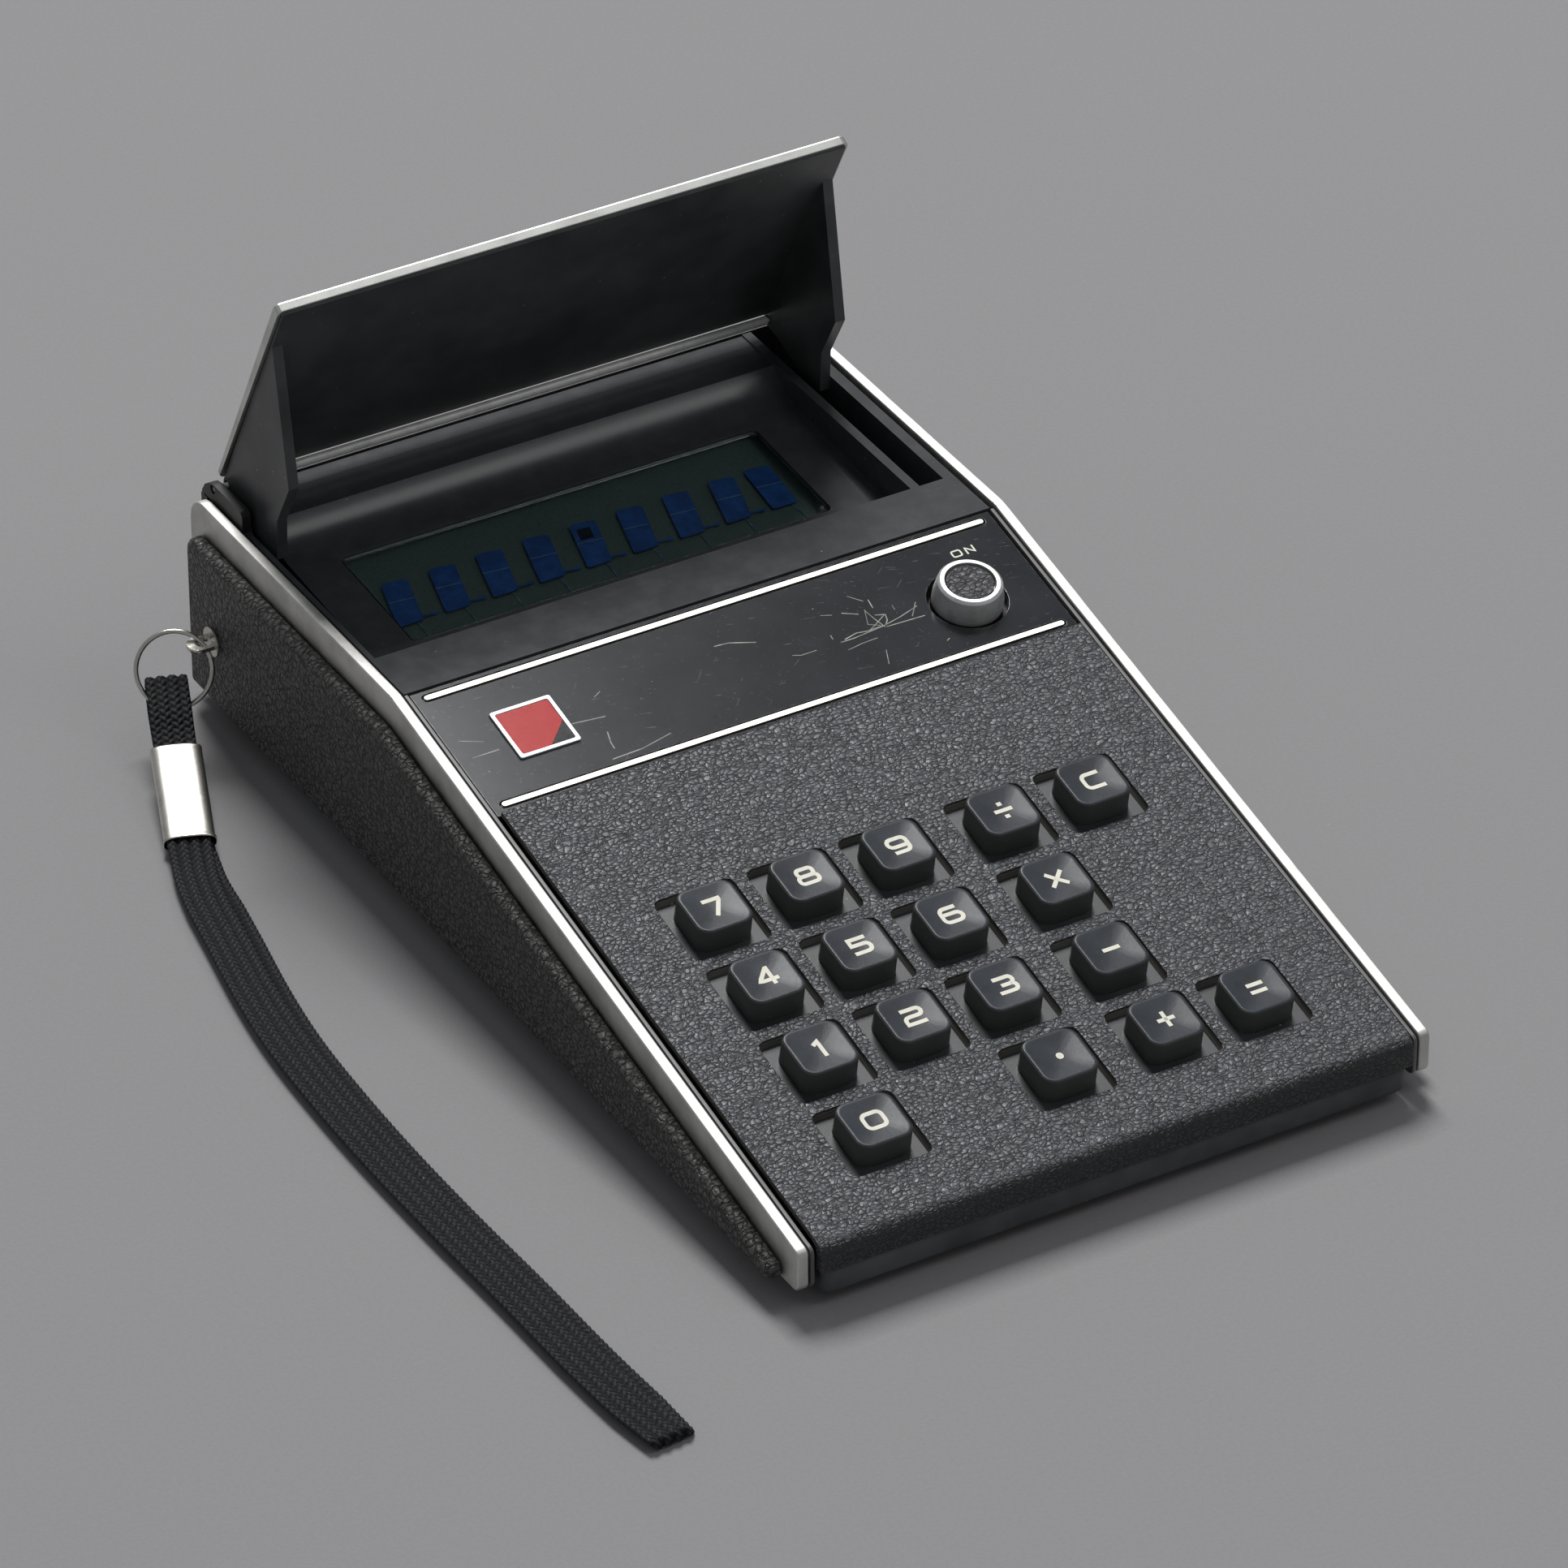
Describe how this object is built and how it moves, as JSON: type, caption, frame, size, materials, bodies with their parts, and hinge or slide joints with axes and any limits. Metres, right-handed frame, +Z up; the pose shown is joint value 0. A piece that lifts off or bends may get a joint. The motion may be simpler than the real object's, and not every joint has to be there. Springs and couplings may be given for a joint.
{
  "type": "electronic calculator",
  "caption": "Hand-held electronic calculator: sloping keypad with sprung keys, hooded digit display, push button, aluminium side rails and braided wrist strap.",
  "frame": {"origin": "on the table under the middle of the body, without the strap", "axes": "+X to the user's right, +Y to the rear, +Z up; the keypad slopes down towards -Y"},
  "size_m": [0.1419, 0.1958, 0.0776],
  "materials": {
    "satin_aluminium": "satin, blasted, polished edges",
    "grained_plastic": "leather grain",
    "smooth_plastic": "smooth black",
    "dark_grey_plastic": "smooth dark grey",
    "key_plastic": "semi-gloss with printed legends",
    "mat_rubber": "moulded",
    "foot_rubber": "matt",
    "board": "green laminate",
    "bright_steel": "bright plated",
    "cell_sleeve": "plain grey sleeve",
    "display_glass": "clear, faint green edge",
    "display_dark": "dark blue digit places on black",
    "plate_metal": "satin black, fine scratches",
    "braid": "flat woven braid"
  },
  "bodies": {
    "body": {"side_rail_left": "satin_aluminium", "side_rail_right": "satin_aluminium", "side_cover_left": "grained_plastic", "side_cover_right": "grained_plastic", "key_cover": "grained_plastic", "chassis_left": "smooth_plastic", "chassis_right": "smooth_plastic", "bottom_case": "smooth_plastic", "rear_cover": "smooth_plastic", "button_switch": "smooth_plastic", "logic_chip": "smooth_plastic", "key_frame": "dark_grey_plastic", "display_bezel": "dark_grey_plastic", "contact_mat": "mat_rubber", "foot_front": "foot_rubber", "foot_rear_left": "foot_rubber", "foot_rear_right": "foot_rubber", "keyboard_board": "board", "main_board": "board", "case_screw": "bright_steel", "battery_contacts_front": "bright_steel", "battery_contacts_rear": "bright_steel", "plate_stripe_front": "bright_steel", "plate_stripe_rear": "bright_steel", "button_spring": "bright_steel", "lid_rod": "bright_steel", "strap_eyelet": "bright_steel", "battery_cell_1": "cell_sleeve", "battery_cell_2": "cell_sleeve", "battery_cell_3": "cell_sleeve", "battery_cell_4": "cell_sleeve", "display_window": "display_glass", "display_panel": "display_dark", "name_plate": "plate_metal"},
    "key_0": {"key_0": "key_plastic"},
    "key_1": {"key_1": "key_plastic"},
    "key_2": {"key_2": "key_plastic"},
    "key_3": {"key_3": "key_plastic"},
    "key_4": {"key_4": "key_plastic"},
    "key_5": {"key_5": "key_plastic"},
    "key_6": {"key_6": "key_plastic"},
    "key_7": {"key_7": "key_plastic"},
    "key_8": {"key_8": "key_plastic"},
    "key_9": {"key_9": "key_plastic"},
    "key_point": {"key_point": "key_plastic"},
    "key_plus": {"key_plus": "key_plastic"},
    "key_minus": {"key_minus": "key_plastic"},
    "key_multiply": {"key_multiply": "key_plastic"},
    "key_divide": {"key_divide": "key_plastic"},
    "key_equals": {"key_equals": "key_plastic"},
    "key_clear": {"key_clear": "key_plastic"},
    "power_button": {"button_cup": "satin_aluminium", "button_insert": "grained_plastic"},
    "lid": {"lid_plate": "satin_aluminium", "lid_body": "dark_grey_plastic"},
    "battery_hatch": {"battery_door": "smooth_plastic"},
    "strap": {"strap_ring": "bright_steel", "strap_clamp": "bright_steel", "strap_bight": "braid", "wrist_strap": "braid"}
  },
  "joints": [
    {"name": "lid_hinge", "type": "hinge", "parent": "body", "child": "lid", "pos_m": [0, 0.0861, 0.0363], "axis": [1, 0, 0], "range_deg": [0, 65.5]},
    {"name": "key_0_press", "type": "slide", "parent": "body", "child": "key_0", "axis": [0, 0.2045, -0.9789], "range_m": [0, 0.0015], "stiffness_N_per_m": 400},
    {"name": "key_1_press", "type": "slide", "parent": "body", "child": "key_1", "axis": [0, 0.2045, -0.9789], "range_m": [0, 0.0015], "stiffness_N_per_m": 400},
    {"name": "key_2_press", "type": "slide", "parent": "body", "child": "key_2", "axis": [0, 0.2045, -0.9789], "range_m": [0, 0.0015], "stiffness_N_per_m": 400},
    {"name": "key_3_press", "type": "slide", "parent": "body", "child": "key_3", "axis": [0, 0.2045, -0.9789], "range_m": [0, 0.0015], "stiffness_N_per_m": 400},
    {"name": "key_4_press", "type": "slide", "parent": "body", "child": "key_4", "axis": [0, 0.2045, -0.9789], "range_m": [0, 0.0015], "stiffness_N_per_m": 400},
    {"name": "key_5_press", "type": "slide", "parent": "body", "child": "key_5", "axis": [0, 0.2045, -0.9789], "range_m": [0, 0.0015], "stiffness_N_per_m": 400},
    {"name": "key_6_press", "type": "slide", "parent": "body", "child": "key_6", "axis": [0, 0.2045, -0.9789], "range_m": [0, 0.0015], "stiffness_N_per_m": 400},
    {"name": "key_7_press", "type": "slide", "parent": "body", "child": "key_7", "axis": [0, 0.2045, -0.9789], "range_m": [0, 0.0015], "stiffness_N_per_m": 400},
    {"name": "key_8_press", "type": "slide", "parent": "body", "child": "key_8", "axis": [0, 0.2045, -0.9789], "range_m": [0, 0.0015], "stiffness_N_per_m": 400},
    {"name": "key_9_press", "type": "slide", "parent": "body", "child": "key_9", "axis": [0, 0.2045, -0.9789], "range_m": [0, 0.0015], "stiffness_N_per_m": 400},
    {"name": "key_point_press", "type": "slide", "parent": "body", "child": "key_point", "axis": [0, 0.2045, -0.9789], "range_m": [0, 0.0015], "stiffness_N_per_m": 400},
    {"name": "key_plus_press", "type": "slide", "parent": "body", "child": "key_plus", "axis": [0, 0.2045, -0.9789], "range_m": [0, 0.0015], "stiffness_N_per_m": 400},
    {"name": "key_minus_press", "type": "slide", "parent": "body", "child": "key_minus", "axis": [0, 0.2045, -0.9789], "range_m": [0, 0.0015], "stiffness_N_per_m": 400},
    {"name": "key_multiply_press", "type": "slide", "parent": "body", "child": "key_multiply", "axis": [0, 0.2045, -0.9789], "range_m": [0, 0.0015], "stiffness_N_per_m": 400},
    {"name": "key_divide_press", "type": "slide", "parent": "body", "child": "key_divide", "axis": [0, 0.2045, -0.9789], "range_m": [0, 0.0015], "stiffness_N_per_m": 400},
    {"name": "key_equals_press", "type": "slide", "parent": "body", "child": "key_equals", "axis": [0, 0.2045, -0.9789], "range_m": [0, 0.0015], "stiffness_N_per_m": 400},
    {"name": "key_clear_press", "type": "slide", "parent": "body", "child": "key_clear", "axis": [0, 0.2045, -0.9789], "range_m": [0, 0.0015], "stiffness_N_per_m": 400},
    {"name": "power_button_press", "type": "slide", "parent": "body", "child": "power_button", "axis": [0, 0.2045, -0.9789], "range_m": [0, 0.002], "stiffness_N_per_m": 750},
    {"name": "battery_door_slide", "type": "slide", "parent": "body", "child": "battery_hatch", "axis": [0, 1, 0], "range_m": [0, 0.05]},
    {"name": "strap_swing", "type": "hinge", "parent": "body", "child": "strap", "pos_m": [-0.0559, 0.0781, 0.0157], "axis": [0, 0, 1], "range_deg": [-60, 0]}
  ]
}
